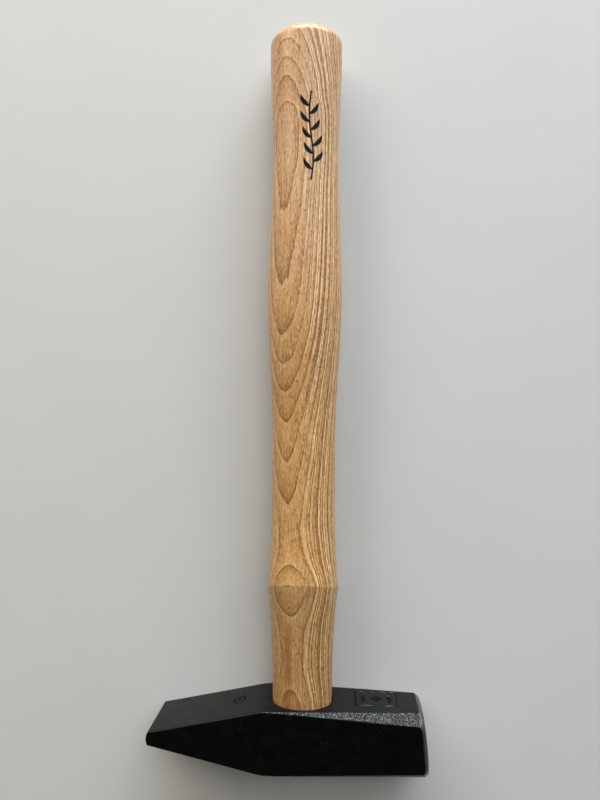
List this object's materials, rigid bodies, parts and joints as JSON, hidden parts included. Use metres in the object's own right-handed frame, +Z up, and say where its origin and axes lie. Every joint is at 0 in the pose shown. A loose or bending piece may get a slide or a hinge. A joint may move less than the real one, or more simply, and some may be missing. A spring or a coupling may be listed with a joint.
{
  "type": "cross-peen hammer",
  "caption": "Engineer's cross-peen hammer: square forged steel head with a tapered peen, on an oval contoured hickory handle wedged into its eye.",
  "frame": {"origin": "on the surface the hammer lies on, under the middle of its bounding box", "axes": "+X along the head towards the striking face (the peen is at -X), +Y along the handle from the head to its free end, +Z up from the lower cheek"},
  "size_m": [0.1204, 0.3258, 0.027],
  "materials": {
    "black_lacquer": "semi-gloss black lacquer over forged steel",
    "hickory": "clear lacquered hickory",
    "wedge_beech": "raw sawn beech",
    "bare_steel": "ground and clear coated steel"
  },
  "bodies": {
    "root": {"hammer_head": "black_lacquer", "handle": "hickory", "wood_wedge": "wedge_beech", "ring_wedge": "bare_steel"}
  },
  "joints": []
}
